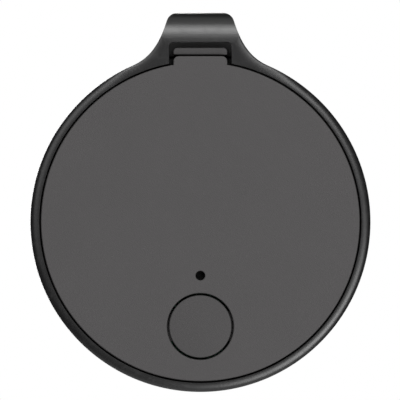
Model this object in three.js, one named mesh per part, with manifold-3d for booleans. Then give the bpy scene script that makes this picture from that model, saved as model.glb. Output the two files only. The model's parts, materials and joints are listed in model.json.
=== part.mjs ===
// Bluetooth tracker tag with a key-ring lug, in millimetres.
// Each piece is drawn about the centre of the round body: x to the right, y from the front cover
// towards the rear cover, z up towards the lug. The whole group is then moved so that the
// underside of the lug's bar, where a key ring bears, lies at the origin.
import * as THREE from "three";
import { mergeVertices } from "three/addons/utils/BufferGeometryUtils.js";
import Module from "manifold-3d";

const wasm = await Module();
wasm.setup();

// Outer form
const RING_RADIUS = 16.0;
const HALF_DEPTH = 4.0;
const FRONT = -HALF_DEPTH;
const REAR = HALF_DEPTH;
const RIM_ROUND = 0.85;
const COVER_RADIUS = 14.85;
const SEAM = 0.23;
const BORE_RADIUS = COVER_RADIUS + SEAM;
const COVER_WALL = 1.0;
const DOOR_WALL = 0.9;
const EDGE_ROUND = 0.12;

// Lug and key-ring slot
const LUG_TOP = 19.7;
const LUG_HALF_TOP = 3.2;
const LUG_CORNER = 1.1;
const LUG_FOOT_X = 6.4;
const BAR_UNDERSIDE = 16.9;
const BAR_BACK = -0.7;
const BROW_FOOT = 16.6;
const BROW_BELLY = 18.3;
const BROW_HEAD = -1.95;
const BROW_NOSE = -3.1;
const BAR_TOP_BACK_ROUND = 1.2;
const BAR_LOW_BACK_ROUND = 1.6;
const BAR_MIDDLE = -2.3;
const SLOT_HALF_WIDTH = 2.95;
const SLOT_FLOOR = 15.4;
const SLOT_BOTTOM = 14.2;
const TAB_SEAT = -2.85;
const LEG_BACK = -1.6;
const LEG_WIDTH = 0.5;
const LEVER_SEAT = 2.85;
const SWEEP_FOOT = 14.5;

// Tabs that reach into the slot
const FRONT_TAB_HALF = 2.53;
const FRONT_TAB_TOP = 15.57;
const LEVER_HALF = 3.3;
const LEVER_TOP = 17.3;
const LEVER_FRONT = 2.4;
const LEDGE_HALF = 2.53;
const LEDGE_LOW = 15.75;
const LEDGE_TOP = 16.36;
const LEDGE_FRONT = -3.5;
const LEVER_GAP = 0.25;

// Button and sound hole
const BUTTON_RADIUS = 2.93;
const BUTTON_GAP = 0.2;
const BUTTON_Z = -9.83;
const BUTTON_FLOOR = -2.55;
const SOUND_HOLE_RADIUS = 0.45;
const SOUND_HOLE_Z = -5.05;

// Frame's inner web, seals and circuit board
const WEB_RADIUS = 13.3;
const WEB_FRONT = -1.5;
const WEB_REAR = -0.6;
const BOARD_RADIUS = 12.95;
const BOARD_FRONT = -1.2;
const BOARD_REAR = -0.6;
const COMPONENT_GAP = 0.02;

// Sounder
const SOUNDER_Z = 0.6;
const SOUNDER_RADIUS = 7.0;
const SOUNDER_RIB_END = -2.6;

// Screws
const SCREW_CIRCLE = 12.0;
const SCREW_ANGLES = [90, 210, 330];
const SCREW_SEAT = 1.3;
const SCREW_RADIUS = 0.5;
const SCREW_HEAD_RADIUS = 0.95;
const BOSS_RADIUS = 0.98;
const BOSS_BORE = 0.6;

// Battery tray and coin cell
const TRAY_FRONT = -0.5;
const TRAY_REAR = 2.5;
const TRAY_RADIUS = 14.6;
const CELL_RADIUS = 10.0;
const CELL_POCKET = 10.25;
const CELL_FRONT = -0.2;
const CELL_REAR = 3.0;

// Rear cover's tongues, which hook into pockets low in the ring
const TONGUE_INNER = 2.0;
const TONGUE_OUTER = 4.0;
const TONGUE_TIP = 15.4;
const TONGUE_ROOT = 14.42;
const TONGUE_FRONT = 2.65;

// Rubber seals
const SEAL_RADIUS = 14.15;
const DOOR_SEAL_RADIUS = 14.0;

const FINE = 64;
const COARSE = 28;
const BEYOND = 0.6;

// ---- Solids ---------------------------------------------------------------

// Makes a closed manifold from a three.js geometry, with its faces pointing outwards.
function solid(geometry) {
  const bare = geometry.clone();
  for (const name of ["normal", "uv", "uv1"]) bare.deleteAttribute(name);
  const merged = mergeVertices(bare, 1e-5);
  const position = merged.attributes.position.array;
  const index = merged.index.array;
  const corner = (i) => new THREE.Vector3().fromArray(position, 3 * index[i]);
  const triangles = [];
  let volume = 0;
  for (let i = 0; i < index.length; i += 3) {
    const [a, b, c] = [index[i], index[i + 1], index[i + 2]];
    if (a === b || b === c || c === a) continue;
    triangles.push([a, b, c]);
    volume += corner(i).dot(corner(i + 1).cross(corner(i + 2)));
  }
  const order = volume < 0 ? triangles.map(([a, b, c]) => [a, c, b]) : triangles;
  return new wasm.Manifold(
    new wasm.Mesh({
      numProp: 3,
      vertProperties: new Float32Array(position),
      triVerts: new Uint32Array(order.flat()),
    }),
  );
}

// Turns a profile of [radius, y] points about the y axis.
function revolve(profile, segments = FINE) {
  const points = profile.map(([r, y]) => new THREE.Vector2(r, y));
  return solid(new THREE.LatheGeometry(points, segments));
}

// A tube wall between two radii, from one y to another.
function ring(inner, outer, y0, y1, segments = FINE) {
  return revolve([[inner, y0], [outer, y0], [outer, y1], [inner, y1], [inner, y0]], segments);
}

// A round bar along y, centred on x, z.
function disc(radius, y0, y1, x = 0, z = 0, segments = COARSE) {
  const geometry = new THREE.CylinderGeometry(radius, radius, y1 - y0, segments);
  return solid(geometry.translate(x, (y0 + y1) / 2, z));
}

// A box between two opposite corners.
function box([x0, y0, z0], [x1, y1, z1]) {
  const geometry = new THREE.BoxGeometry(x1 - x0, y1 - y0, z1 - z0);
  return solid(geometry.translate((x0 + x1) / 2, (y0 + y1) / 2, (z0 + z1) / 2));
}

// Extrudes an x-z outline from y0 to y1, with its edges rounded at both ends.
function plate(outline, y0, y1, round = 0, roundSteps = 1, curveSteps = 3) {
  const geometry = new THREE.ExtrudeGeometry(outline, {
    depth: y1 - y0 - 2 * round,
    bevelEnabled: round > 0,
    bevelThickness: round,
    bevelSize: round,
    bevelOffset: -round,
    bevelSegments: roundSteps,
    curveSegments: curveSteps,
  });
  return solid(geometry.rotateX(Math.PI / 2).translate(0, y1 - round, 0));
}

// Extrudes a y-z outline from x0 to x1.
function slice(outline, x0, x1, curveSteps = 5) {
  const geometry = new THREE.ExtrudeGeometry(outline, {
    depth: x1 - x0,
    bevelEnabled: false,
    curveSegments: curveSteps,
  });
  const along = new THREE.Matrix4().makeBasis(
    new THREE.Vector3(0, 1, 0),
    new THREE.Vector3(0, 0, 1),
    new THREE.Vector3(1, 0, 0),
  );
  return solid(geometry.applyMatrix4(along).translate(x0, 0, 0));
}

function polygon(points) {
  return new THREE.Shape(points.map(([a, b]) => new THREE.Vector2(a, b)));
}

const radians = (degrees) => (degrees * Math.PI) / 180;

// The x, z place at a radius and an angle from the x axis.
function polar(radius, degrees) {
  return [radius * Math.cos(radians(degrees)), radius * Math.sin(radians(degrees))];
}

const union = (solids) => solids.reduce((whole, next) => whole.add(next));

const tag = new THREE.Group();
tag.position.set(0, -BAR_MIDDLE, -BAR_UNDERSIDE);

// Adds a finished piece to the tag.
function piece(name, body, colour, roughness, metalness = 0) {
  const { vertProperties, triVerts } = body.getMesh();
  const geometry = new THREE.BufferGeometry();
  geometry.setAttribute("position", new THREE.BufferAttribute(vertProperties, 3));
  geometry.setIndex(new THREE.BufferAttribute(triVerts, 1));
  geometry.computeVertexNormals();
  const material = new THREE.MeshStandardMaterial({ color: colour, roughness, metalness });
  const mesh = new THREE.Mesh(geometry, material);
  mesh.name = name;
  tag.add(mesh);
}

// ---- Outer frame ----------------------------------------------------------

// The points of an arc, in the plane of an outline.
function arcPoints(x, z, radius, from, to, steps) {
  const curve = new THREE.EllipseCurve(x, z, radius, radius, from, to, to < from);
  return curve.getPoints(steps);
}

// The frame seen from the front: round the body, and up both flanks of the lug.
function frontOutline() {
  const cornerX = LUG_HALF_TOP - LUG_CORNER;
  const cornerZ = LUG_TOP - LUG_CORNER;
  const lean = radians(17);
  const footZ = Math.sqrt(RING_RADIUS ** 2 - LUG_FOOT_X ** 2);
  const footAngle = Math.atan2(footZ, LUG_FOOT_X);
  const flank = new THREE.Vector2(Math.cos(lean), Math.sin(lean)).multiplyScalar(LUG_CORNER);
  flank.add(new THREE.Vector2(cornerX, cornerZ));
  const foot = new THREE.Vector2(LUG_FOOT_X, footZ);
  const down = new THREE.Vector2(Math.sin(lean), -Math.cos(lean)).multiplyScalar(2.6);
  const inward = new THREE.Vector2(-Math.sin(footAngle), Math.cos(footAngle)).multiplyScalar(1.6);
  const side = new THREE.CubicBezierCurve(flank, flank.clone().add(down), foot.clone().add(inward), foot);
  const right = [
    ...arcPoints(cornerX, cornerZ, LUG_CORNER, Math.PI / 2, lean, 5),
    ...side.getPoints(9).slice(1),
  ];
  const left = right.map((point) => new THREE.Vector2(-point.x, point.y)).reverse();
  const body = arcPoints(0, 0, RING_RADIUS, footAngle, -Math.PI - footAngle, 56).slice(1, -1);
  return new THREE.Shape([...right, ...body, ...left]);
}

// The frame seen from its side: full depth round the body, and a bar that leans to the front.
function sideOutline() {
  const outline = new THREE.Shape();
  const back = REAR + BEYOND;
  const front = FRONT - BEYOND;
  const bottom = -RING_RADIUS - BEYOND;
  outline.moveTo(front, bottom);
  outline.lineTo(back, bottom);
  outline.lineTo(back, SWEEP_FOOT);
  outline.quadraticCurveTo(0.8, 15.6, BAR_BACK, LUG_TOP - BAR_TOP_BACK_ROUND);
  outline.absarc(BAR_BACK - BAR_TOP_BACK_ROUND, LUG_TOP - BAR_TOP_BACK_ROUND, BAR_TOP_BACK_ROUND,
    0, Math.PI / 2, false);
  outline.lineTo(BROW_HEAD, LUG_TOP);
  outline.bezierCurveTo(BROW_NOSE, LUG_TOP, FRONT, BROW_BELLY, FRONT, BROW_FOOT);
  outline.lineTo(front, BROW_FOOT);
  return outline;
}

// The free space under and behind the bar, seen from the side.
function slotOutline() {
  const front = FRONT - BEYOND;
  const back = REAR + BEYOND;
  const above = LUG_TOP + BEYOND;
  const outline = new THREE.Shape();
  outline.moveTo(front, SLOT_BOTTOM);
  outline.lineTo(TAB_SEAT, SLOT_BOTTOM);
  outline.lineTo(TAB_SEAT, SLOT_FLOOR);
  outline.lineTo(LEVER_SEAT, SLOT_FLOOR);
  outline.lineTo(LEVER_SEAT, SLOT_BOTTOM);
  outline.lineTo(back, SLOT_BOTTOM);
  outline.lineTo(back, above);
  outline.lineTo(BAR_BACK, above);
  outline.lineTo(BAR_BACK, BAR_UNDERSIDE + BAR_LOW_BACK_ROUND);
  outline.absarc(BAR_BACK - BAR_LOW_BACK_ROUND, BAR_UNDERSIDE + BAR_LOW_BACK_ROUND,
    BAR_LOW_BACK_ROUND, 0, -Math.PI / 2, true);
  outline.lineTo(front, BAR_UNDERSIDE);
  return outline;
}

// The wider space at the rear that the cover's lever stands in.
function leverOutline() {
  const clear = LEVER_FRONT - 0.3;
  const above = LUG_TOP + BEYOND;
  const back = REAR + BEYOND;
  return polygon([
    [LEVER_SEAT, SLOT_BOTTOM], [back, SLOT_BOTTOM], [back, above],
    [clear, above], [clear, SLOT_FLOOR], [LEVER_SEAT, SLOT_FLOOR],
  ]);
}

// Pockets, or tongues, on both sides of the bottom: an arc of a ring between two x places.
function lowArcs(inner, outer, y0, y1, x0, x1) {
  const whole = ring(inner, outer, y0, y1);
  const sides = [-1, 1].map((side) => {
    const [a, b] = side < 0 ? [-x1, -x0] : [x0, x1];
    return box([a, y0 - 1, -RING_RADIUS], [b, y1 + 1, 0]);
  });
  return union(sides).intersect(whole);
}

function outerFrame() {
  const far = RING_RADIUS + BEYOND;
  const hollow = revolve([
    [0, FRONT - BEYOND], [BORE_RADIUS, FRONT - BEYOND], [BORE_RADIUS, WEB_FRONT],
    [WEB_RADIUS, WEB_FRONT], [WEB_RADIUS, WEB_REAR], [BORE_RADIUS, WEB_REAR],
    [BORE_RADIUS, REAR + BEYOND], [0, REAR + BEYOND],
  ]);
  const leverSpace = LEVER_HALF + LEVER_GAP;
  const legs = [-1, 1].map((side) => {
    const [a, b] = [SLOT_HALF_WIDTH - LEG_WIDTH, SLOT_HALF_WIDTH].map((x) => side * x).sort((m, n) => m - n);
    return box([a, TAB_SEAT - 0.1, SLOT_BOTTOM], [b, LEG_BACK, SLOT_FLOOR + 0.1]);
  });
  return plate(frontOutline(), FRONT, REAR, RIM_ROUND, 3)
    .intersect(slice(sideOutline(), -far, far))
    .subtract(hollow)
    .subtract(slice(slotOutline(), -SLOT_HALF_WIDTH, SLOT_HALF_WIDTH))
    .subtract(union(legs))
    .subtract(slice(leverOutline(), -leverSpace, leverSpace))
    .subtract(lowArcs(COVER_RADIUS, TONGUE_TIP + 0.25, TONGUE_FRONT - 0.3, TONGUE_FRONT + 0.55,
      TONGUE_INNER - 0.2, TONGUE_OUTER + 0.2));
}

// ---- Covers and button ----------------------------------------------------

// A disc with a tab on its top edge.
function tabbedDisc(halfWidth, top, corner) {
  const rootAngle = Math.acos(halfWidth / COVER_RADIUS);
  const right = arcPoints(halfWidth - corner, top - corner, corner, Math.PI / 2, 0, 4);
  const left = right.map((point) => new THREE.Vector2(-point.x, point.y)).reverse();
  const body = arcPoints(0, 0, COVER_RADIUS, rootAngle, -Math.PI - rootAngle, FINE);
  return new THREE.Shape([...right, ...body, ...left]);
}

function frontCover() {
  const inside = FRONT + COVER_WALL;
  const boardSeat = BOARD_FRONT - 0.05;
  const meshSeat = 0.45;
  const bosses = SCREW_ANGLES.map((angle) => {
    const [x, z] = polar(SCREW_CIRCLE, angle);
    return disc(BOSS_RADIUS, inside - 0.2, boardSeat, x, z, 24);
  });
  const pilots = SCREW_ANGLES.map((angle) => {
    const [x, z] = polar(SCREW_CIRCLE, angle);
    return disc(BOSS_BORE, inside + 0.2, boardSeat + 1, x, z, 20);
  });
  const rib = ring(SOUNDER_RADIUS - 0.5, SOUNDER_RADIUS, inside - 0.2, SOUNDER_RIB_END, 40)
    .translate([0, 0, SOUNDER_Z]);
  const skirt = ring(13.75, 14.55, inside - 0.2, -2.3);
  return union([plate(tabbedDisc(FRONT_TAB_HALF, FRONT_TAB_TOP, 0.5), FRONT, inside, EDGE_ROUND),
    skirt, rib, ...bosses])
    .subtract(union(pilots))
    .subtract(disc(BUTTON_RADIUS + BUTTON_GAP, FRONT - 1, inside + 1, 0, BUTTON_Z, 48))
    .subtract(disc(SOUND_HOLE_RADIUS, FRONT - 1, inside + 1, 0, SOUND_HOLE_Z, 24))
    .subtract(disc(0.95, inside - meshSeat, inside + 0.3, 0, SOUND_HOLE_Z, 24));
}

function rearCover() {
  const inside = REAR - DOOR_WALL;
  const shell = plate(tabbedDisc(LEVER_HALF, LEVER_TOP, 0.9), inside, REAR, EDGE_ROUND);
  const lever = box([-LEVER_HALF, LEVER_FRONT, LEDGE_LOW], [LEVER_HALF, REAR - 0.5, LEVER_TOP - 0.9]);
  const roots = lowArcs(TONGUE_ROOT, COVER_RADIUS - 0.1, TONGUE_FRONT, inside + 0.2, TONGUE_INNER, TONGUE_OUTER);
  const tongues = lowArcs(TONGUE_ROOT, TONGUE_TIP, TONGUE_FRONT, TONGUE_FRONT + 0.3, TONGUE_INNER, TONGUE_OUTER);
  const rib = ring(12.6, 13.3, 2.75, inside + 0.2);
  return union([shell, lever, roots, tongues, rib]);
}

// The pale shelf on the lever's front that shows inside the slot.
function releaseLedge() {
  const fitted = LEVER_FRONT - COMPONENT_GAP;
  return box([-LEDGE_HALF, LEDGE_FRONT, LEDGE_LOW], [LEDGE_HALF, fitted, LEDGE_TOP]);
}

function buttonCap() {
  const corner = 0.12;
  const cap = revolve([
    [0, FRONT], [BUTTON_RADIUS - corner, FRONT], [BUTTON_RADIUS, FRONT + corner],
    [BUTTON_RADIUS, BUTTON_FLOOR], [0.6, BUTTON_FLOOR], [0.6, -2.4], [0, -2.4],
  ], 48);
  const earFront = FRONT + COVER_WALL + 0.05;
  const ears = box([-4.1, earFront, -1.4], [4.1, BUTTON_FLOOR, 1.4]);
  return cap.add(ears).translate([0, 0, BUTTON_Z]);
}

// A rubber cord of round section, bent into a ring.
function sealRing(radius, cord, y) {
  const geometry = new THREE.TorusGeometry(radius, cord, 6, 48);
  return solid(geometry.rotateX(Math.PI / 2).translate(0, y, 0));
}

// ---- Sounder --------------------------------------------------------------

// A bent strip of spring metal that stands on the board, reaching up by a height.
function springStrip(height, width, x, z) {
  const t = 0.12;
  const strip = polygon([
    [0, 0], [2.0, 0], [2.2, 0.1], [2.2, 0.22], [0.9, height - t], [0.9, height],
    [0.2, height], [0.2, height - t], [0.75, height - t], [1.95, 0.2], [1.9, t], [0, t],
  ]);
  const geometry = new THREE.ExtrudeGeometry(strip, { depth: width, bevelEnabled: false });
  geometry.applyMatrix4(new THREE.Matrix4().makeBasis(
    new THREE.Vector3(1, 0, 0), new THREE.Vector3(0, -1, 0), new THREE.Vector3(0, 0, -1)));
  return solid(geometry.translate(x, BOARD_FRONT - COMPONENT_GAP, z + width / 2));
}

// ---- Circuit board and its components -------------------------------------

function board() {
  const holes = SCREW_ANGLES.map((angle) => {
    const [x, z] = polar(SCREW_CIRCLE, angle);
    return disc(0.7, BOARD_FRONT - 1, BOARD_REAR + 1, x, z, 20);
  });
  return disc(BOARD_RADIUS, BOARD_FRONT, BOARD_REAR, 0, 0, FINE).subtract(union(holes));
}

// A flat component on the front of the board, turned about y.
function component(width, height, thickness, x, z, degrees = 0) {
  const rear = BOARD_FRONT - COMPONENT_GAP;
  const geometry = new THREE.BoxGeometry(width, thickness, height);
  geometry.rotateY(-radians(degrees)).translate(x, rear - thickness / 2, z);
  return solid(geometry);
}

// A row of like components along an arc of the board, each a piece of its own.
function componentArc(name, count, radius, first, [width, height, thickness], colour) {
  const step = 6.5;
  for (let i = 0; i < count; i += 1) {
    const angle = first + i * step;
    const body = component(width, height, thickness, ...polar(radius, angle), angle);
    piece(`${name}_${i + 1}`, body, colour, 0.5);
  }
}

function switchBase() {
  const rear = BOARD_FRONT - COMPONENT_GAP;
  return box([-1.5, -1.9, BUTTON_Z - 1.5], [1.5, rear, BUTTON_Z + 1.5])
    .subtract(disc(1.2, -2.2, -1.33, 0, BUTTON_Z, 32));
}

function switchCover() {
  const plateTop = -2.05;
  const sheet = 0.12;
  const lip = 0.5;
  return box([-1.66, plateTop, BUTTON_Z - 1.5], [1.66, plateTop + lip, BUTTON_Z + 1.5])
    .subtract(box([-1.54, plateTop + sheet, BUTTON_Z - 2], [1.54, plateTop + 1, BUTTON_Z + 2]))
    .subtract(disc(0.78, -3, -1, 0, BUTTON_Z, 28));
}

function switchDome() {
  return revolve([
    [0, -1.46], [0.5, -1.445], [1.1, -1.36], [1.1, -1.34], [0.5, -1.4], [0, -1.41],
  ], 28).translate([0, 0, BUTTON_Z]);
}

// ---- Battery --------------------------------------------------------------

function batteryCan() {
  return revolve([
    [0, CELL_REAR], [9.75, CELL_REAR], [CELL_RADIUS, CELL_REAR - 0.25], [CELL_RADIUS, 0.15],
    [9.8, -0.05], [9.2, -0.05], [9.2, 0.18], [9.75, 0.2], [9.75, CELL_REAR - 0.25], [0, CELL_REAR - 0.25],
  ], 48);
}

function batteryGasket() {
  return revolve([
    [8.97, -0.1], [9.14, -0.1], [9.14, 0.25], [9.7, 0.25], [9.7, 0.6], [8.97, 0.6], [8.97, -0.1],
  ], 48);
}

function batteryLid() {
  return revolve([
    [0, CELL_FRONT], [8.5, CELL_FRONT], [8.9, 0.05], [8.9, 0.6], [8.7, 0.6], [8.7, 0.1],
    [8.4, 0], [0, 0],
  ], 48);
}

function batteryTray() {
  const past = TRAY_REAR + 1;
  const screwHoles = SCREW_ANGLES.map((angle) => {
    const [x, z] = polar(SCREW_CIRCLE, angle);
    return union([
      disc(0.65, TRAY_FRONT - 1, past, x, z, 20),
      disc(1.1, SCREW_SEAT, past, x, z, 24),
    ]);
  });
  const pockets = [0, 60, 120, 150, 240, 270, 300].map((angle) => {
    const from = radians(angle - 11);
    const to = radians(angle + 11);
    const sector = new THREE.Shape();
    sector.absarc(0, 0, 13.4, from, to, false);
    sector.absarc(0, 0, 11.1, to, from, true);
    return plate(sector, 0.3, past);
  });
  const [notchX, notchZ] = polar(12, 30);
  return ring(CELL_POCKET, TRAY_RADIUS, TRAY_FRONT, TRAY_REAR)
    .subtract(union(screwHoles))
    .subtract(union(pockets))
    .subtract(disc(2.4, 1.0, past, notchX, notchZ, 32))
    .subtract(box([-12, TRAY_FRONT - 1, -2], [-10, past, 2]));
}

// A strip that stands beside the cell and bears on the side of its can.
function contactPositive() {
  const outline = polygon([
    [-11.7, -0.56], [-10.4, -0.56], [-10.4, -0.42], [-11.3, -0.42], [-11.3, 1.35], [-10.3, 1.55],
    [-10.06, 1.75], [-10.16, 1.9], [-10.36, 1.7], [-11.45, 1.48], [-11.45, -0.42], [-11.7, -0.42],
  ]);
  const geometry = new THREE.ExtrudeGeometry(outline, { depth: 3, bevelEnabled: false });
  return solid(geometry.translate(0, 0, -1.5));
}

// A sprung leaf on the rear of the board that bears on the middle of the cell.
function contactNegative() {
  const outline = polygon([
    [-4, -0.57], [4, -0.57], [4, -0.47], [-1.6, -0.47], [1.2, -0.32], [2, -0.24], [2, -0.22],
    [1.0, -0.24], [-2.2, -0.42], [-2.6, -0.47], [-4, -0.47],
  ]);
  const geometry = new THREE.ExtrudeGeometry(outline, { depth: 2, bevelEnabled: false });
  return solid(geometry.translate(0, 0, -1));
}

// ---- Screws ---------------------------------------------------------------

function caseScrew(angle) {
  const head = SCREW_SEAT + 0.02;
  const [x, z] = polar(SCREW_CIRCLE, angle);
  const shape = revolve([
    [0, -2.6], [SCREW_RADIUS, -2.4], [SCREW_RADIUS, head], [SCREW_HEAD_RADIUS, head],
    [SCREW_HEAD_RADIUS, head + 0.3], [0.6, head + 0.55], [0, head + 0.55],
  ], 20);
  const long = box([-0.55, head + 0.25, -0.12], [0.55, head + 1, 0.12]);
  const cross = box([-0.12, head + 0.25, -0.55], [0.12, head + 1, 0.55]);
  return shape.subtract(long.add(cross)).translate([x, 0, z]);
}

// ---- The tag --------------------------------------------------------------

const DARK = 0x2b2b2c;
const GREY = 0x585657;
const DARK_MATTE = 0x323232;
const STEEL = 0xb9bcc0;
const GOLD = 0xc8a24a;

piece("outer_frame", outerFrame(), DARK, 0.35);
piece("front_cover", frontCover(), GREY, 0.75);
piece("rear_cover", rearCover(), DARK_MATTE, 0.75);
piece("release_ledge", releaseLedge(), GREY, 0.75);
piece("button_cap", buttonCap(), GREY, 0.72);
piece("cover_seal", sealRing(SEAL_RADIUS, 0.33, -1.9), 0x1b1b1c, 0.8);
piece("door_seal", sealRing(DOOR_SEAL_RADIUS, 0.27, 2.8), 0x1b1b1c, 0.8);
piece("sound_mesh", disc(0.85, -3.4, -3.3, 0, SOUND_HOLE_Z, 24), 0x0c0c0c, 0.9);
piece("piezo_foam_ring", ring(6.5, 6.95, -2.57, -2.4, 40).translate([0, 0, SOUNDER_Z]), 0x222222, 0.95);
piece("piezo_plate", disc(SOUNDER_RADIUS, -2.37, -2.19, 0, SOUNDER_Z, 48), 0xc9a654, 0.3, 1);
piece("piezo_ceramic", disc(5.0, -2.17, -1.97, 0, SOUNDER_Z, 48), 0xd9d6cc, 0.5);
piece("piezo_spring_plate", springStrip(0.94, 1.0, 5.2, SOUNDER_Z), GOLD, 0.3, 1);
piece("piezo_spring_ceramic", springStrip(0.72, 1.0, 1.0, SOUNDER_Z), GOLD, 0.3, 1);
piece("pcb", board(), 0x14452d, 0.5);
piece("switch_base", switchBase(), 0x1a1a1a, 0.6);
piece("switch_dome", switchDome(), STEEL, 0.3, 1);
piece("switch_cover", switchCover(), STEEL, 0.3, 1);
piece("switch_plunger", disc(0.66, -2.35, -1.75, 0, BUTTON_Z, 28), 0xd8d4c8, 0.5);
piece("radio_chip", component(4.6, 4.6, 0.85, -9.6, 0.4), 0x161618, 0.5);
piece("crystal_main", component(2.0, 1.6, 0.5, -9.7, 4.8), STEEL, 0.3, 1);
piece("crystal_clock", component(3.2, 1.5, 0.7, -9.2, -3.6), STEEL, 0.3, 1);
piece("antenna", component(5.2, 2.0, 1.0, ...polar(11.2, 118), 28), 0xe6e2d6, 0.5);
piece("inductor", component(2.0, 2.0, 1.0, 9.2, 4.6), 0x3a3a3c, 0.5);
piece("sounder_driver_chip", component(2.6, 2.6, 0.75, 9.8, 0.6), 0x161618, 0.5);
componentArc("capacitor", 4, 11.3, 48, [1.0, 0.5, 0.5], 0xb08d62);
componentArc("resistor", 3, 11.6, 340, [1.0, 0.5, 0.35], 0x202022);
piece("battery_tray", batteryTray(), 0x222223, 0.6);
piece("battery_can", batteryCan(), 0xc2c5c9, 0.25, 1);
piece("battery_gasket", batteryGasket(), 0x6f7072, 0.6);
piece("battery_lid", batteryLid(), 0xc2c5c9, 0.3, 1);
piece("battery_electrodes", disc(8.6, 0.65, 2.7, 0, 0, 48), 0x3a3a3a, 0.8);
piece("battery_contact_positive", contactPositive(), GOLD, 0.3, 1);
piece("battery_contact_negative", contactNegative(), GOLD, 0.3, 1);
SCREW_ANGLES.forEach((angle, i) => piece(`case_screw_${i + 1}`, caseScrew(angle), STEEL, 0.3, 1));

export default tag;
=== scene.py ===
import json
from math import acos, atan2, copysign, cos, pi, radians, sin, sqrt

import bmesh
import bpy
from mathutils import Matrix, Vector
from mathutils.geometry import interpolate_bezier


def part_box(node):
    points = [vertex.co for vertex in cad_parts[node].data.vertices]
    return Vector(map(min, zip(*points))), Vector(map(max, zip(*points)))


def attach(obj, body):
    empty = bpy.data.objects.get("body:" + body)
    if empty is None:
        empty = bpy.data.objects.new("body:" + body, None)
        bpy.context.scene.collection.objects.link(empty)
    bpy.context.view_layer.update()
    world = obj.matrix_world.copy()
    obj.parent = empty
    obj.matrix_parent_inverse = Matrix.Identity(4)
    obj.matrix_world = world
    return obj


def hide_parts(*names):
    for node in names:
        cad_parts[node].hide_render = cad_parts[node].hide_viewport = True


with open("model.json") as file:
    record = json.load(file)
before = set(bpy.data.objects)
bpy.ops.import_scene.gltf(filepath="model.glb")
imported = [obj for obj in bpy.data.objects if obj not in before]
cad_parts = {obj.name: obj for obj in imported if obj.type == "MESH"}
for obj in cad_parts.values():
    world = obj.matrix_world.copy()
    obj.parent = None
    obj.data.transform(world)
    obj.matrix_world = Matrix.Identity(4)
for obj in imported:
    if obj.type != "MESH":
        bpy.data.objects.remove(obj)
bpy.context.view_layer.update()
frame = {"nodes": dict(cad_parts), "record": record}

MM = 0.001

# ---- Places and sizes, in millimetres from the middle of the round body ---------------------


def corners(node):
    return [Vector(corner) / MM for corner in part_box(node)]


CELL_LOW, CELL_HIGH = corners("battery_can")
FRONT_LOW, _ = corners("front_cover")
_, REAR_HIGH = corners("rear_cover")
FRAME_LOW, FRAME_HIGH = corners("outer_frame")
CAP_LOW, CAP_HIGH = corners("button_cap")
MESH_LOW, MESH_HIGH = corners("sound_mesh")
MIDDLE = Vector(((CELL_LOW.x + CELL_HIGH.x) / 2, (FRONT_LOW.y + REAR_HIGH.y) / 2,
                 (CELL_LOW.z + CELL_HIGH.z) / 2))

RING_RADIUS = MIDDLE.z - FRAME_LOW.z
LUG_TOP = FRAME_HIGH.z - MIDDLE.z
FRONT = FRONT_LOW.y - MIDDLE.y
REAR = REAR_HIGH.y - MIDDLE.y
BUTTON_Z = (CAP_LOW.z + CAP_HIGH.z) / 2 - MIDDLE.z
BUTTON_RADIUS = (CAP_HIGH.z - CAP_LOW.z) / 2
HOLE_Z = (MESH_LOW.z + MESH_HIGH.z) / 2 - MIDDLE.z

# Discs of the covers, and the ring round them
FACE_RADIUS = 14.97
DOOR_RADIUS = 14.85
FRONT_BORE = 15.14
REAR_BORE = 15.08
RIM_ROUND = 0.88
RIM_DEPTH = 0.50
LUG_RIM_DEPTH = 0.16
LIP_ROUND = 0.13
COVER_WALL = 1.0
DOOR_WALL = 0.9

# Lug and its bar
BAR_UNDERSIDE = 16.9
BAR_BACK = -0.7
BROW_FOOT = 16.6
BROW_BELLY = 18.3
BROW_HEAD = -1.95
BROW_NOSE = -3.1
SWEEP_FOOT = 14.45
RIM_BLEND_LOW = 12.4
RIM_BLEND_LENGTH = 2.4
LUG_EDGE_ROUND = 0.16

# Web inside the ring, and the slot
WEB_RADIUS = 13.3
WEB_FRONT = -1.5
WEB_REAR = -0.6
SLOT_HALF = 2.95
SLOT_FLOOR = 15.4
SLOT_BOTTOM = 14.2
TAB_SEAT = -2.85
WINDOW_BACK = -2.2
LEG_FRONT = -3.0
LEG_BACK = -1.6

# Front cover
TAB_HALF = 2.53
TAB_TOP = 15.57
TAB_CORNER = 0.5
SKIRT_INNER = 13.75
SKIRT_OUTER = 14.55
SKIRT_END = -2.3
COVER_ROUND = 0.11

# Rear cover with its lever, ledge and tongues
DOOR_SEAT = 2.85
DOOR_ROUND = 0.14
LEVER_HALF = 3.3
LEVER_TOP = 17.3
LEVER_CORNER = 0.9
LEVER_INSET = 0.3
LEVER_GAP = 0.25
LEVER_DROP = 0.05
LEVER_CLEAR = 0.3
LEDGE_LOW = 15.70
LEDGE_TOP = 16.36
LEDGE_FRONT = -3.5
LEDGE_CORNER = 0.35
LEDGE_ROUND = 0.10
LEVER_FRONT = 2.4
RIB_INNER = 12.6
RIB_OUTER = 13.3
RIB_FRONT = 2.75
TONGUE_ROOT = 14.42
TONGUE_TIP = 15.4
TONGUE_FRONT = 2.65
TONGUE_BACK = 2.95
TONGUE_INNER = 2
TONGUE_OUTER = 4
POCKET_ROOT = 14.9
POCKET_DEEPER = 0.25
POCKET_BEFORE = 0.3
POCKET_BEHIND = 0.25
POCKET_WIDER = 0.2

# Button and sound hole
BUTTON_HOLE = BUTTON_RADIUS + 0.2
BUTTON_FLOOR = -2.55
BUTTON_ROUND = 0.11
DIMPLE_RADIUS = 0.6
DIMPLE_FLOOR = -2.4
EAR_REACH = 4.1
EAR_HALF = 1.4
EAR_GAP = 0.05
HOLE_RADIUS = 0.45
MESH_POCKET_RADIUS = 0.95
MESH_POCKET_DEPTH = 0.45

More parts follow.
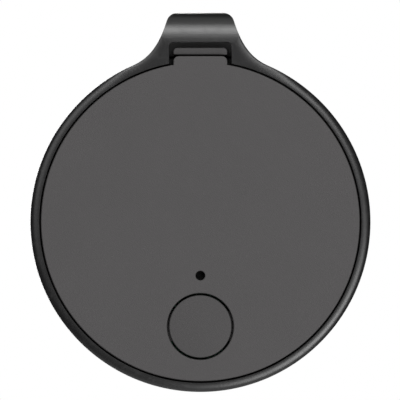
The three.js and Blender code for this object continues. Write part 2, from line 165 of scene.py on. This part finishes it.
# The coin cell's can
CAN_RADIUS = 10.0
CAN_DISH_RADIUS = 7.4
CAN_DISH_DEPTH = 0.03
CAN_FACE = 3.0
CAN_SHOULDER = 0.4
CAN_INSIDE = 9.75
CAN_FLOOR = 2.72
CAN_LIP = 9.2
CAN_END = -0.05

# How far a cut runs past the surface that it opens
PAST = 0.7
# How far one solid or cut runs into its neighbour
JOIN = 0.2
LAP = 0.1
# What keeps two faces out of one plane
HAIR = 0.001
# Edges flatter than this are smooth
SMOOTH_ANGLE = radians(32)

# ---- Modelling ------------------------------------------------------------------------------


def arc(x, z, radius, start, end, steps):
    """Points of an arc in the plane of an outline, angles in degrees."""
    turn = radians(end - start) / steps
    return [(x + radius * cos(radians(start) + i * turn), z + radius * sin(radians(start) + i * turn))
            for i in range(steps + 1)]


def finish_mesh(bm, name):
    """Welds a bmesh, turns its faces outwards and gives back its object, still in millimetres."""
    bmesh.ops.remove_doubles(bm, verts=bm.verts, dist=1e-4)
    bmesh.ops.dissolve_degenerate(bm, edges=bm.edges, dist=1e-5)
    bmesh.ops.recalc_face_normals(bm, faces=bm.faces)
    mesh = bpy.data.meshes.new(name)
    bm.to_mesh(mesh)
    bm.free()
    mesh.shade_smooth()
    mesh.set_sharp_from_angle(angle=SMOOTH_ANGLE)
    obj = bpy.data.objects.new(name, mesh)
    bpy.context.scene.collection.objects.link(obj)
    return obj


def prism(name, outline, low, high, across="y"):
    """Extrudes an outline: x-z points along y, or y-z points along x."""
    bm = bmesh.new()
    place = (lambda a, b: (a, low, b)) if across == "y" else (lambda a, b: (low, a, b))
    face = bm.faces.new([bm.verts.new(place(a, b)) for a, b in outline])
    grown = bmesh.ops.extrude_face_region(bm, geom=[face])["geom"]
    step = (0, high - low, 0) if across == "y" else (high - low, 0, 0)
    bmesh.ops.translate(bm, verts=[g for g in grown if isinstance(g, bmesh.types.BMVert)], vec=step)
    return finish_mesh(bm, name)


def turned(name, profile, z=0, steps=160):
    """Spins a profile of (radius, y) points about the y axis."""
    bm = bmesh.new()
    verts = [bm.verts.new((r, y, 0)) for r, y in profile]
    edges = [bm.edges.new(pair) for pair in zip(verts, verts[1:])]
    if profile[0][0] > 0:
        edges.append(bm.edges.new((verts[-1], verts[0])))
    bmesh.ops.spin(bm, geom=verts + edges, cent=(0, 0, 0), axis=(0, 1, 0), angle=2 * pi,
                   steps=steps, use_merge=True)
    bmesh.ops.translate(bm, verts=bm.verts, vec=(0, 0, z))
    return finish_mesh(bm, name)


def block(name, low, high):
    size = Vector(high) - Vector(low)
    bm = bmesh.new()
    bmesh.ops.create_cube(bm, size=1)
    bmesh.ops.scale(bm, verts=bm.verts, vec=size)
    bmesh.ops.translate(bm, verts=bm.verts, vec=(Vector(high) + Vector(low)) / 2)
    return finish_mesh(bm, name)


def combine(obj, tool, how="DIFFERENCE"):
    """Cuts, joins or intersects a shape with a tool, which is used up."""
    step = obj.modifiers.new("combine", "BOOLEAN")
    step.operation = how
    step.solver = "EXACT"
    step.object = tool
    graph = bpy.context.evaluated_depsgraph_get()
    mesh = bpy.data.meshes.new_from_object(obj.evaluated_get(graph))
    obj.modifiers.clear()
    obj.data = mesh
    bpy.data.objects.remove(tool)
    return obj


def soften(obj, width, segments, angle, wanted=lambda edge: True):
    """Rounds the sharp edges of a shape that a test picks."""
    bm = bmesh.new()
    bm.from_mesh(obj.data)
    bmesh.ops.remove_doubles(bm, verts=bm.verts, dist=1e-4)
    bmesh.ops.recalc_face_normals(bm, faces=bm.faces)
    bm.normal_update()
    sharp = [e for e in bm.edges if len(e.link_faces) == 2
             and e.calc_face_angle(0) > radians(angle) and wanted(e)]
    bmesh.ops.bevel(bm, geom=sharp, offset=width, offset_type="OFFSET", segments=segments,
                    affect="EDGES", profile=0.5, material=-1, clamp_overlap=True)
    bm.to_mesh(obj.data)
    bm.free()
    obj.data.shade_smooth()
    obj.data.set_sharp_from_angle(angle=SMOOTH_ANGLE)
    return obj


def settle(obj, body, finish, slot, *nodes):
    """Puts a finished piece in its place in the row frame, and on its body."""
    obj.data.transform(Matrix.Scale(MM, 4) @ Matrix.Translation(MIDDLE))
    obj.data.materials.clear()
    obj.data.materials.append(finish)
    even = obj.modifiers.new("even shading", "WEIGHTED_NORMAL")
    even.keep_sharp = True
    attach(obj, body)
    if nodes:
        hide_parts(*nodes)
    return obj


# ---- Shader maths ---------------------------------------------------------------------------


class Value:
    """A socket with arithmetic."""

    def __init__(self, surface, socket):
        self.surface = surface
        self.socket = socket

    def _math(self, operation, *terms):
        links = {i: getattr(term, "socket", term) for i, term in enumerate(terms)}
        made = self.surface.node("ShaderNodeMath", {"operation": operation}, links)
        return Value(self.surface, made.outputs[0])

    def __add__(self, other):
        return self._math("ADD", self, other)

    __radd__ = __add__

    def __sub__(self, other):
        return self._math("SUBTRACT", self, other)

    def __rsub__(self, other):
        return self._math("SUBTRACT", other, self)

    def __mul__(self, other):
        return self._math("MULTIPLY", self, other)

    __rmul__ = __mul__

    def sine(self):
        return self._math("SINE", self)

    def smooth(self, low, high):
        made = self.surface.node("ShaderNodeMapRange", {"interpolation_type": "SMOOTHSTEP"},
                                 {"Value": self.socket, "From Min": low, "From Max": high})
        return Value(self.surface, made.outputs[0])


class Surface:
    """A material under construction, on Object coordinates in metres."""

    def __init__(self, name, **constants):
        self.material = bpy.data.materials.new(name)
        self.material.use_nodes = True
        self.tree = self.material.node_tree
        self.tree.nodes.clear()
        self.shader = self.node("ShaderNodeBsdfPrincipled", {}, constants)
        out = self.tree.nodes.new("ShaderNodeOutputMaterial")
        self.tree.links.new(self.shader.outputs[0], out.inputs[0])
        self.place = self.node("ShaderNodeTexCoord").outputs["Object"]

    def node(self, kind, settings=None, inputs=None):
        made = self.tree.nodes.new(kind)
        for key, value in (settings or {}).items():
            setattr(made, key, value)
        for key, value in (inputs or {}).items():
            value = getattr(value, "socket", value)
            if isinstance(value, bpy.types.NodeSocket):
                self.tree.links.new(value, made.inputs[key])
            else:
                made.inputs[key].default_value = value
        return made

    def noise(self, scale, detail=3, roughness=0.55, stretch=(1, 1, 1)):
        place = self.node("ShaderNodeMapping", {}, {"Vector": self.place, "Scale": stretch})
        made = self.node("ShaderNodeTexNoise", {}, {
            "Vector": place.outputs[0], "Scale": scale, "Detail": detail, "Roughness": roughness})
        return Value(self, made.outputs[0])

    def cells(self, scale, feature="F1"):
        made = self.node("ShaderNodeTexVoronoi", {"feature": feature},
                         {"Vector": self.place, "Scale": scale})
        return Value(self, made.outputs[0])

    def axes(self):
        made = self.node("ShaderNodeSeparateXYZ", {}, {0: self.place})
        return [Value(self, socket) for socket in made.outputs]

    def from_middle(self):
        """How far a point is from the axis of the round body, in metres."""
        away = self.node("ShaderNodeVectorMath", {"operation": "SUBTRACT"},
                         {0: self.place, 1: tuple(MIDDLE * MM)})
        flat = self.node("ShaderNodeVectorMath", {"operation": "MULTIPLY"},
                         {0: away.outputs[0], 1: (1, 0, 1)})
        made = self.node("ShaderNodeVectorMath", {"operation": "LENGTH"}, {0: flat.outputs[0]})
        return Value(self, made.outputs["Value"])

    def mix(self, factor, first, second):
        made = self.node("ShaderNodeMix", {"data_type": "RGBA"},
                         {0: factor, 6: first, 7: second})
        return made.outputs[2]

    def feed(self, name, value):
        self.tree.links.new(getattr(value, "socket", value), self.shader.inputs[name])

    def relief(self, height, depth):
        bump = self.node("ShaderNodeBump", {}, {"Height": height, "Distance": depth})
        bump.inputs["Strength"].default_value = 1.0
        self.tree.links.new(bump.outputs[0], self.shader.inputs["Normal"])


def grey(level):
    return (level, level, level, 1)


# ---- Finishes -------------------------------------------------------------------------------


def matte_plastic(name, levels):
    """Moulding with an even spark-eroded texture and faint handling marks."""
    s = Surface(name, **{"IOR": 1.46, "Specular IOR Level": 0.35})
    grain = s.cells(9000)
    pits = s.noise(5200, 4, 0.6)
    cloud = s.noise(160, 3)
    rubbed = s.noise(620, 4, 0.62).smooth(0.52, 0.74)
    low, high, pale = [(level * 1.035, level * 0.985, level, 1) for level in levels]
    tone = s.mix(cloud.smooth(0.3, 0.7), low, high)
    s.feed("Base Color", s.mix(pits.smooth(0.56, 0.72) * 0.35, tone, pale))
    s.feed("Roughness", 0.60 + 0.10 * pits - 0.05 * rubbed)
    s.relief(grain * 0.6 + pits * 0.5, 0.000012)
    return s.material


def frame_plastic():
    """Dark moulding with a half gloss, finer and smoother than the covers."""
    s = Surface("dark frame plastic", **{"IOR": 1.5, "Specular IOR Level": 0.5})
    fine = s.noise(7000, 3, 0.5)
    flow = s.noise(240, 4, 0.6, (1, 3, 1))
    touched = s.noise(900, 5, 0.65).smooth(0.50, 0.72)
    edge = s.from_middle()
    crest = edge.smooth(0.01525, 0.01565) * (1 - edge.smooth(0.01575, 0.01600))
    worn = crest * s.noise(1500, 5, 0.7).smooth(0.55, 0.70)
    tone = s.mix(flow.smooth(0.3, 0.7), (0.0038, 0.0037, 0.0039, 1), (0.0054, 0.0053, 0.0055, 1))
    s.feed("Base Color", s.mix(worn * 0.45, tone, (0.022, 0.0215, 0.022, 1)))
    s.feed("Roughness", 0.30 + 0.07 * fine + 0.06 * touched + 0.08 * worn)
    s.relief(fine * 0.5 + flow * 0.6, 0.000008)
    return s.material


def moulded(name, colour, rough, scale=5000, depth=0.00001):
    """Plain moulded plastic or rubber with a grain."""
    s = Surface(name)
    grain = s.noise(scale, 4, 0.6)
    cloud = s.noise(300, 3)
    darker = tuple(0.8 * part for part in colour[:3]) + (1,)
    s.feed("Base Color", s.mix(cloud.smooth(0.3, 0.7), darker, colour))
    s.feed("Roughness", rough - 0.06 + 0.14 * grain)
    s.relief(grain, depth)
    return s.material


def metal(name, colour, rough, stretch=(1, 1, 1), lathe=False):
    """Bright metal, brushed along one way or turned in rings."""
    s = Surface(name, **{"Metallic": 1.0})
    if lathe:
        lines = (s.from_middle() * 26000 + s.noise(900, 2) * 3).sine() * 0.5 + 0.5
    else:
        lines = s.noise(2600, 3, 0.6, stretch)
    stain = s.noise(500, 4).smooth(0.45, 0.7)
    dull = tuple(0.78 * part for part in colour[:3]) + (1,)
    s.feed("Base Color", s.mix(stain, colour, dull))
    s.feed("Roughness", rough + 0.10 * lines + 0.10 * stain)
    s.relief(lines, 0.000003)
    return s.material


def solder_mask():
    """Green lacquer over copper tracks on the circuit board."""
    s = Surface("green solder mask", **{"Coat Roughness": 0.2})
    x, _, z = s.axes()
    weave = (x * 9000).sine() * (z * 9000).sine()
    tracks = s.cells(650, "DISTANCE_TO_EDGE").smooth(0.06, 0.09)
    mottled = s.noise(900, 3)
    ground = s.mix(mottled, (0.010, 0.085, 0.040, 1), (0.014, 0.105, 0.052, 1))
    s.feed("Base Color", s.mix(tracks, (0.022, 0.150, 0.075, 1), ground))
    s.feed("Roughness", 0.30 + 0.12 * mottled)
    s.relief(weave * 0.2 - tracks, 0.00001)
    return s.material


def woven_mesh():
    """Fine dust mesh: over and under threads with dark gaps."""
    s = Surface("black dust mesh", **{"Specular IOR Level": 0.08})
    x, _, z = s.axes()
    threads = (x * 32000).sine() * (z * 32000).sine()
    s.feed("Base Color", s.mix(threads.smooth(-0.4, 0.6), grey(0.0004), grey(0.0016)))
    s.feed("Roughness", 0.75 + 0.1 * threads)
    s.relief(threads, 0.00002)
    return s.material


MATTE = matte_plastic("matte grey plastic", (0.0385, 0.0397, 0.0532))
BUTTON = matte_plastic("matte button plastic", (0.0342, 0.0353, 0.0476))
# Painted shade: the covers' matte grey made about a quarter darker for the ledge, standing in for the
# shade under the bar over the slot.
LEDGE_SHADED_GREY = matte_plastic("matte grey ledge plastic darkened as painted shade", (0.0292, 0.0302, 0.041))
# The rear cover's dark colour is partly a guessed colour for the back and partly painted shade: its
# lever wall, seen through the slot behind the bar, stands in for the deep shade there.
DOOR_DARK_FOR_SLOT_SHADE = matte_plastic("dark door plastic, partly painted slot shade", (0.0080, 0.0088, 0.014))
DARK = frame_plastic()
RUBBER = moulded("black silicone", grey(0.018), 0.62)
FOAM = moulded("black foam", grey(0.025), 0.9, 3500, 0.00006)
TRAY = moulded("black tray moulding", grey(0.022), 0.5)
PALE = moulded("ivory plastic", (0.62, 0.59, 0.50, 1), 0.42)
CERAMIC = moulded("fired ceramic", (0.66, 0.64, 0.58, 1), 0.55, 6000)
TAN = moulded("tan ceramic", (0.36, 0.23, 0.12, 1), 0.5, 7000)
FERRITE = moulded("grey ferrite", grey(0.065), 0.6, 6000)
GASKET = moulded("grey sealing plastic", grey(0.25), 0.5)
FILLING = moulded("pressed powder", grey(0.05), 0.95, 3000, 0.00004)
BRASS = metal("sheet brass", (0.72, 0.52, 0.22, 1), 0.22, (1, 1, 12))
GOLD = metal("gold plating", (0.83, 0.61, 0.26, 1), 0.28, (12, 1, 1))
STEEL = metal("bright steel", (0.60, 0.61, 0.63, 1), 0.30, (12, 1, 1))
CELL = metal("nickel-plated can", (0.66, 0.66, 0.67, 1), 0.34, lathe=True)
BOARD = solder_mask()
MESH = woven_mesh()

BY_SLOT = {
    "dark_plastic": DARK, "grey_plastic": MATTE, "dark_matte_plastic": DOOR_DARK_FOR_SLOT_SHADE,
    "seal_rubber": RUBBER, "mesh_cloth": MESH, "foam": FOAM, "brass_plate": BRASS,
    "white_ceramic": CERAMIC, "gold_contact": GOLD, "board": BOARD, "black_moulding": TRAY,
    "steel": STEEL, "pale_plastic": PALE, "cell_steel": CELL, "gasket_plastic": GASKET,
    "cell_filling": FILLING, "ferrite": FERRITE, "tan_ceramic": TAN,
}

# ---- Outer frame ----------------------------------------------------------------------------


def mirrored(half):
    """Closes a right-hand half outline with its mirror image."""
    return half + [(-x, z) for x, z in reversed(half)]


def lug_and_ring():
    """Outline of the frame from the front, from the middle of the lug round to the bottom."""
    top_half, corner, lean, foot_x = 3.2, 1.1, 17, 6.4
    upper_pull, lower_pull = 2.6, 1.6
    corner_x, corner_z = top_half - corner, LUG_TOP - corner
    foot_z = sqrt(RING_RADIUS ** 2 - foot_x ** 2)
    foot = atan2(foot_z, foot_x)
    start = Vector((corner_x + corner * cos(radians(lean)), corner_z + corner * sin(radians(lean)), 0))
    down = Vector((sin(radians(lean)), -cos(radians(lean)), 0)) * upper_pull
    inward = Vector((-sin(foot), cos(foot), 0)) * lower_pull
    end = Vector((foot_x, foot_z, 0))
    flank = interpolate_bezier(start, start + down, end + inward, end, 22)
    bottom = foot * 180 / pi
    half = arc(corner_x, corner_z, corner, 90, lean, 10)
    half += [(p.x, p.y) for p in flank[1:]]
    half += arc(0, 0, RING_RADIUS, bottom, -89.0, 84)[1:]
    return mirrored(half)


def frame_side():
    """Outline of the frame from the side: full depth at the body, the bar forward at the top."""
    top_back = 1.2
    back, front, low = REAR + PAST, FRONT - PAST, -RING_RADIUS - PAST
    sweep = interpolate_bezier(Vector((back, SWEEP_FOOT, 0)), Vector((3.3, 15.3, 0)),
                               Vector((0.8, 16.4, 0)), Vector((BAR_BACK, LUG_TOP - top_back, 0)), 20)
    outline = [(front, low), (back, low)] + [(p.x, p.y) for p in sweep]
    outline += arc(BAR_BACK - top_back, LUG_TOP - top_back, top_back, 0, 90, 10)[1:]
    brow = interpolate_bezier(Vector((BROW_HEAD, LUG_TOP, 0)), Vector((BROW_NOSE, LUG_TOP, 0)),
                              Vector((FRONT, BROW_BELLY, 0)), Vector((FRONT, BROW_FOOT, 0)), 24)
    return outline + [(p.x, p.y) for p in brow] + [(front, BROW_FOOT)]


def slot_side():
    """The free space behind the bar, from the side, with the bar's round back."""
    back, above, low_back, flat = REAR + PAST, LUG_TOP + PAST, 1.6, 0.3
    start = BAR_BACK - low_back
    outline = [(start - flat, SLOT_FLOOR), (DOOR_SEAT, SLOT_FLOOR), (DOOR_SEAT, SLOT_BOTTOM),
               (back, SLOT_BOTTOM), (back, above), (BAR_BACK, above)]
    outline += arc(start, BAR_UNDERSIDE + low_back, low_back, 0, -90, 12)
    return outline + [(start - flat, BAR_UNDERSIDE)]


def slot_window():
    """The slot's opening in the front face, with round upper corners and square feet."""
    corner = 0.42
    return mirrored(arc(SLOT_HALF - corner, BAR_UNDERSIDE - corner, corner, 90, 0, 8)
                    + [(SLOT_HALF, SLOT_BOTTOM)])


def lever_side():
    """The wider space at the rear where the cover's lever stands, from the side."""
    clear, back, above = LEVER_FRONT - LEVER_CLEAR, REAR + PAST, LUG_TOP + PAST
    return [(DOOR_SEAT, SLOT_BOTTOM), (back, SLOT_BOTTOM), (back, above), (clear, above),
            (clear, SLOT_FLOOR), (DOOR_SEAT, SLOT_FLOOR)]


def low_arcs(name, inner, outer, y0, y1, x0, x1):
    """An arc of a ring low on each side of the middle."""
    whole = turned(name, [(inner, y0), (outer, y0), (outer, y1), (inner, y1)])
    end, bridge_low, bridge_top = -17, -11, -10
    both = [(x0, end), (x1, end), (x1, bridge_top), (-x1, bridge_top),
            (-x1, end), (-x0, end), (-x0, bridge_low), (x0, bridge_low)]
    return combine(whole, prism("sides", both, y0 - 1, y1 + 1), "INTERSECT")


def outer_frame():
    body = prism("tag_frame", lug_and_ring(), FRONT, REAR)

    def rim(edge):
        return abs(edge.verts[0].co.y - edge.verts[1].co.y) < 1e-4

    soften(body, RIM_ROUND, 11, 60, rim)
    for vertex in body.data.vertices:
        depth = REAR - abs(vertex.co.y)
        up = min(1, max(0, (vertex.co.z - RIM_BLEND_LOW) / RIM_BLEND_LENGTH))
        flatter = RIM_DEPTH + (LUG_RIM_DEPTH - RIM_DEPTH) * up * up * (3 - 2 * up)
        vertex.co.y = copysign(REAR - depth * flatter / RIM_ROUND, vertex.co.y)
    wide = RING_RADIUS + PAST
    combine(body, prism("side", frame_side(), -wide, wide, "x"), "INTERSECT")
    hollow = [(0, FRONT - PAST), (FRONT_BORE, FRONT - PAST), (FRONT_BORE, WEB_FRONT),
              (WEB_RADIUS, WEB_FRONT), (WEB_RADIUS, WEB_REAR), (REAR_BORE, WEB_REAR),
              (REAR_BORE, REAR + PAST), (0, REAR + PAST)]
    combine(body, turned("hollow", hollow, steps=180))

    def inner_lip(edge):
        near_face, near_bore = 0.05, 0.08
        at_face = all(abs(v.co.y) > REAR - near_face for v in edge.verts)
        return at_face and all(abs(sqrt(v.co.x ** 2 + v.co.z ** 2) - REAR_BORE) < near_bore
                               for v in edge.verts)

    soften(body, LIP_ROUND, 4, 40, inner_lip)
    combine(body, prism("slot", slot_side(), -SLOT_HALF, SLOT_HALF, "x"))
    combine(body, prism("window", slot_window(), FRONT - PAST, TAB_SEAT))
    deep = [(x, max(z, SLOT_FLOOR)) for x, z in slot_window()]
    combine(body, prism("deep window", deep, LEG_FRONT, WINDOW_BACK))
    for side in (-1, 1):
        near, far = sorted((side * (TAB_HALF - LAP), side * SLOT_HALF))
        combine(body, block("leg", (near, LEG_FRONT, SLOT_BOTTOM), (far, LEG_BACK, SLOT_FLOOR + LAP)))
    room = LEVER_HALF + LEVER_GAP
    combine(body, prism("lever room", lever_side(), -room, room, "x"))
    combine(body, low_arcs("pockets", POCKET_ROOT, TONGUE_TIP + POCKET_DEEPER,
                           TONGUE_FRONT - POCKET_BEFORE, TONGUE_BACK + POCKET_BEHIND,
                           TONGUE_INNER - POCKET_WIDER, TONGUE_OUTER + POCKET_WIDER))

    def lug_edge(edge):
        lug_foot, seam_half = 15.2, 0.3
        middle = (edge.verts[0].co + edge.verts[1].co) / 2
        return middle.z > lug_foot and abs(middle.x) > seam_half

    soften(body, LUG_EDGE_ROUND, 3, 40, lug_edge)
    return settle(body, "housing", DARK, "dark_plastic", "outer_frame")


# ---- Covers ---------------------------------------------------------------------------------


def tabbed_disc(radius, half_width, top, corner):
    """Outline of a cover: a disc with a tab on its top edge."""
    root = acos(half_width / radius) * 180 / pi
    half = arc(half_width - corner, top - corner, corner, 90, 0, 8)
    half += arc(0, 0, radius, root, -89.2, 110)
    return mirrored(half)


def front_cover():
    inside = FRONT + COVER_WALL
    outline = tabbed_disc(FACE_RADIUS, TAB_HALF, TAB_TOP, TAB_CORNER)
    cover = prism("tag_front_cover", outline, FRONT, inside)
    skirt = [(SKIRT_INNER, inside - JOIN), (SKIRT_OUTER, inside - JOIN),
             (SKIRT_OUTER, SKIRT_END), (SKIRT_INNER, SKIRT_END)]
    combine(cover, turned("skirt", skirt), "UNION")
    cut = [(0, FRONT - 1), (BUTTON_HOLE, FRONT - 1), (BUTTON_HOLE, inside + 1), (0, inside + 1)]
    combine(cover, turned("button hole", cut, z=BUTTON_Z, steps=96))
    dish = 0.045
    pocket = inside - MESH_POCKET_DEPTH
    hole = [(0, FRONT - 1), (HOLE_RADIUS + dish, FRONT - 1), (HOLE_RADIUS + dish, FRONT),
            (HOLE_RADIUS, FRONT + dish), (HOLE_RADIUS, pocket), (MESH_POCKET_RADIUS, pocket),
            (MESH_POCKET_RADIUS, inside + 1), (0, inside + 1)]
    combine(cover, turned("sound hole", hole, z=HOLE_Z, steps=48))

    def front_rim(edge):
        round_the_hole = 0.8
        return all(v.co.y < FRONT + 1e-3 for v in edge.verts) and (
            (edge.verts[0].co - Vector((0, FRONT, HOLE_Z))).length > round_the_hole)

    soften(cover, COVER_ROUND, 4, 40, front_rim)
    return settle(cover, "housing", MATTE, "grey_plastic", "front_cover")


def rear_cover():
    inside = REAR - DOOR_WALL
    outline = tabbed_disc(DOOR_RADIUS, LEVER_HALF, LEVER_TOP, LEVER_CORNER)
    door = prism("tag_rear_cover", outline, inside, REAR)
    top = arc(LEVER_HALF - LEVER_CORNER, LEVER_TOP - LEVER_CORNER - LEVER_DROP, LEVER_CORNER, 90, 0, 8)
    lever = mirrored(top + [(LEVER_HALF, LEDGE_LOW)])
    combine(door, prism("lever", lever, LEVER_FRONT, REAR - LEVER_INSET), "UNION")
    combine(door, low_arcs("roots", TONGUE_ROOT, DOOR_RADIUS - LAP, TONGUE_FRONT, inside + JOIN,
                           TONGUE_INNER, TONGUE_OUTER), "UNION")
    combine(door, low_arcs("tongues", TONGUE_ROOT, TONGUE_TIP, TONGUE_FRONT + HAIR, TONGUE_BACK,
                           TONGUE_INNER, TONGUE_OUTER), "UNION")
    rib = [(RIB_INNER, RIB_FRONT), (RIB_OUTER, RIB_FRONT), (RIB_OUTER, inside + JOIN),
           (RIB_INNER, inside + JOIN)]
    combine(door, turned("rib", rib), "UNION")

    def outer_rim(edge):
        return all(v.co.y > REAR - 1e-3 for v in edge.verts)

    soften(door, DOOR_ROUND, 4, 40, outer_rim)
    # The dark door finish is also painted shade for the lever wall seen through the slot.
    return settle(door, "rear_door", DOOR_DARK_FOR_SLOT_SHADE, "dark_matte_plastic", "rear_cover")


def release_ledge():
    """The grey shelf on the rear cover's lever that shows inside the slot; its grey is the covers'
    matte grey made darker as painted shade from the bar above it.
    """
    top = arc(TAB_HALF - LEDGE_CORNER, LEDGE_TOP - LEDGE_CORNER, LEDGE_CORNER, 90, 0, 6)
    outline = mirrored(top + [(TAB_HALF, LEDGE_LOW)])
    ledge = prism("tag_release_ledge", outline, LEDGE_FRONT, LEVER_FRONT - HAIR)
    soften(ledge, LEDGE_ROUND, 3, 40)
    return settle(ledge, "rear_door", LEDGE_SHADED_GREY, "grey_plastic", "release_ledge")


def button_cap():
    ease = [(BUTTON_RADIUS - BUTTON_ROUND + BUTTON_ROUND * sin(radians(a)),
             FRONT + BUTTON_ROUND - BUTTON_ROUND * cos(radians(a))) for a in range(0, 91, 15)]
    profile = [(0, FRONT)] + ease + [(BUTTON_RADIUS, BUTTON_FLOOR), (DIMPLE_RADIUS, BUTTON_FLOOR),
                                     (DIMPLE_RADIUS, DIMPLE_FLOOR), (0, DIMPLE_FLOOR)]
    cap = turned("tag_button", profile, z=BUTTON_Z, steps=120)
    ears = block("ears", (-EAR_REACH, FRONT + COVER_WALL + EAR_GAP, BUTTON_Z - EAR_HALF),
                 (EAR_REACH, BUTTON_FLOOR, BUTTON_Z + EAR_HALF))
    combine(cap, ears, "UNION")
    return settle(cap, "button", BUTTON, "grey_plastic", "button_cap")


def battery_can():
    """The can's drawn shape, with a round shoulder and a shallow dish in its face."""
    shoulder = [(CAN_RADIUS - CAN_SHOULDER + CAN_SHOULDER * sin(radians(a)),
                 CAN_FACE - CAN_SHOULDER + CAN_SHOULDER * cos(radians(a))) for a in range(0, 91, 15)]
    dish = CAN_FACE - CAN_DISH_DEPTH
    profile = [(0, dish), (CAN_DISH_RADIUS, dish), (CAN_DISH_RADIUS + 0.2, CAN_FACE)] + shoulder
    profile += [(CAN_RADIUS, 0.15), (9.8, CAN_END), (CAN_LIP, CAN_END), (CAN_LIP, 0.18),
                (CAN_INSIDE, 0.2), (CAN_INSIDE, CAN_FLOOR), (0, CAN_FLOOR)]
    can = turned("tag_cell_can", profile)
    return settle(can, "housing", CELL, "cell_steel", "battery_can")


outer_frame()
front_cover()
rear_cover()
release_ledge()
button_cap()
battery_can()

for part in frame["record"]["subparts"]:
    node = frame["nodes"][part["node"]]
    finish = BY_SLOT[part["material_slot"]]
    if not node.material_slots:
        node.data.materials.append(finish)
    for place in node.material_slots:
        place.material = finish

# ---- Floor, light and camera, in metres -----------------------------------------------------

FLOOR_RADIUS = 0.6
FLOOR_HEIGHT = -0.55
WALL_SOURCE = 0.08
SENSOR_WIDTH = 36
AIM = MIDDLE * MM


def pale_floor():
    s = Surface("pale floor", **{"Specular IOR Level": 0.2})
    s.feed("Base Color", s.mix(s.noise(30, 3), grey(0.84), grey(0.88)))
    s.feed("Roughness", 0.7 + 0.1 * s.noise(90, 2))
    bm = bmesh.new()
    bmesh.ops.create_circle(bm, cap_ends=True, radius=FLOOR_RADIUS, segments=128)
    bmesh.ops.translate(bm, verts=bm.verts, vec=(0, 0, FLOOR_HEIGHT))
    mesh = bpy.data.meshes.new("floor")
    bm.to_mesh(mesh)
    bm.free()
    mesh.materials.append(s.material)
    floor = bpy.data.objects.new("floor", mesh)
    bpy.context.scene.collection.objects.link(floor)


def studio_walls():
    """White to the eye, and dimmer as a source, so that the lamps shape the object."""
    world = bpy.data.worlds.new("studio")
    bpy.context.scene.world = world
    world.use_nodes = True
    tree = world.node_tree
    tree.nodes.clear()
    seen = tree.nodes.new("ShaderNodeBackground")
    seen.inputs["Color"].default_value = (1, 1, 1, 1)
    seen.inputs["Strength"].default_value = 1.0
    source = tree.nodes.new("ShaderNodeBackground")
    source.inputs["Color"].default_value = (1, 1, 1, 1)
    source.inputs["Strength"].default_value = WALL_SOURCE
    path = tree.nodes.new("ShaderNodeLightPath")
    mix = tree.nodes.new("ShaderNodeMixShader")
    out = tree.nodes.new("ShaderNodeOutputWorld")
    tree.links.new(path.outputs["Is Camera Ray"], mix.inputs[0])
    tree.links.new(source.outputs[0], mix.inputs[1])
    tree.links.new(seen.outputs[0], mix.inputs[2])
    tree.links.new(mix.outputs[0], out.inputs[0])


def lamp(name, place, width, height, power):
    data = bpy.data.lights.new(name, "AREA")
    data.shape = "RECTANGLE"
    data.size, data.size_y, data.energy = width, height, power
    obj = bpy.data.objects.new(name, data)
    bpy.context.scene.collection.objects.link(obj)
    obj.location = Vector(place)
    obj.rotation_euler = (AIM - Vector(place)).to_track_quat("-Z", "Y").to_euler()


def camera():
    """Straight on to the front, far enough to see it without much perspective."""
    away = 0.52
    seen_width = 0.03757
    above_middle = 0.00205
    aside = 0.00003
    data = bpy.data.cameras.new("camera")
    data.sensor_width = SENSOR_WIDTH
    data.lens = SENSOR_WIDTH * away / seen_width
    data.clip_start, data.clip_end = 0.01, 10
    obj = bpy.data.objects.new("camera", data)
    bpy.context.scene.collection.objects.link(obj)
    obj.location = (AIM.x - aside, FRONT_LOW.y * MM - away, AIM.z + above_middle)
    obj.rotation_euler = (pi / 2, 0, 0)
    bpy.context.scene.camera = obj


pale_floor()
studio_walls()
lamp("front high softbox", (-0.02, -0.44, 0.375), 0.34, 0.21, 2.35)
lamp("upper right softbox", (0.19, -0.48, 0.18), 0.2, 0.2, 0.66)
lamp("lower right softbox", (0.31, -0.43, -0.20), 0.26, 0.26, 1.3)
lamp("low softbox", (0.19, -0.43, -0.32), 0.28, 0.28, 1.6)
lamp("left panel", (-0.30, -0.46, 0.08), 0.3, 0.3, 0.34)
lamp("upper left panel", (-0.30, -0.40, 0.25), 0.3, 0.3, 0.37)
lamp("top softbox", (-0.06, -0.09, 0.52), 0.4, 0.36, 0.32)
lamp("rear softbox", (-0.25, 0.60, 0.12), 0.5, 0.5, 6.0)
camera()
bpy.context.scene.view_settings.view_transform = "Standard"
